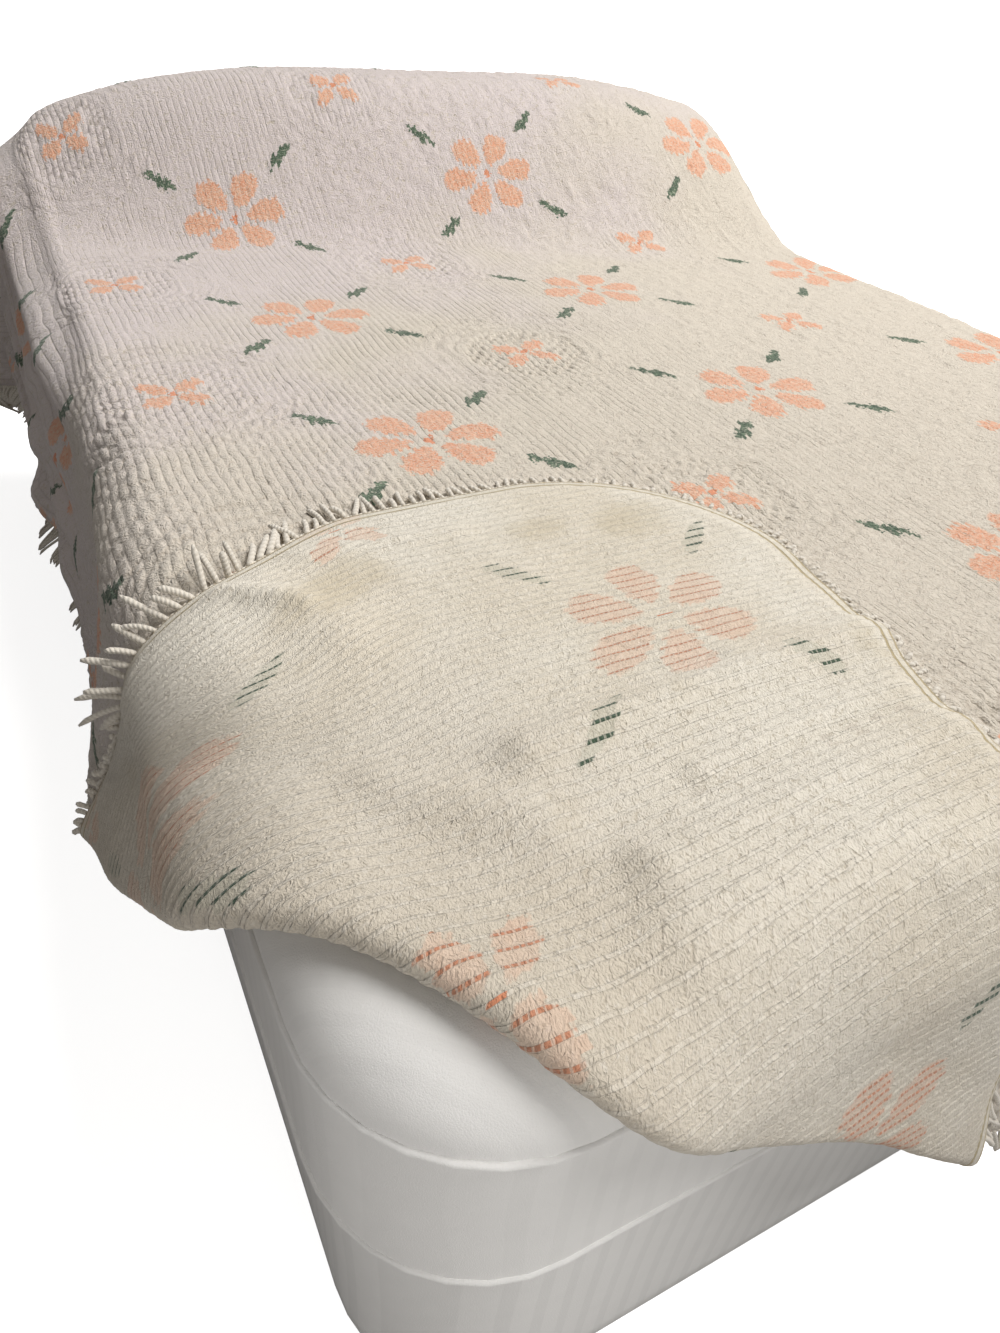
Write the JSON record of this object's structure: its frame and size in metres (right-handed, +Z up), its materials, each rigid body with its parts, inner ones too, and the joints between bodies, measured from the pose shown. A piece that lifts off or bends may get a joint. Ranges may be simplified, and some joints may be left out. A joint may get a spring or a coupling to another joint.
{
  "type": "chenille bedspread on a bed",
  "caption": "Tufted chenille bedspread with twisted fringe, draped over a plain bed and pillows, its near corner turned back wrong side up.",
  "frame": {"origin": "middle of the footprint, on the floor", "axes": "+Z up, +Y towards the head of the bed, +X to the right seen from the foot"},
  "size_m": [1.7322, 2.163, 0.7918],
  "materials": {
    "chenille": "off-white tufted cotton chenille with peach flowers and green leaves",
    "fringe_yarn": "twisted off-white cotton yarn",
    "ticking": "plain woven mattress cover",
    "base_cover": "plain woven cover",
    "pillow_linen": "plain cotton pillow case"
  },
  "bodies": {
    "root": {"bedspread": "chenille", "fringe_left": "fringe_yarn", "fringe_flap": "fringe_yarn", "fringe_foot": "fringe_yarn", "fringe_right": "fringe_yarn", "mattress": "ticking", "bed_base": "base_cover", "pillow_left": "pillow_linen", "pillow_right": "pillow_linen"}
  },
  "joints": []
}
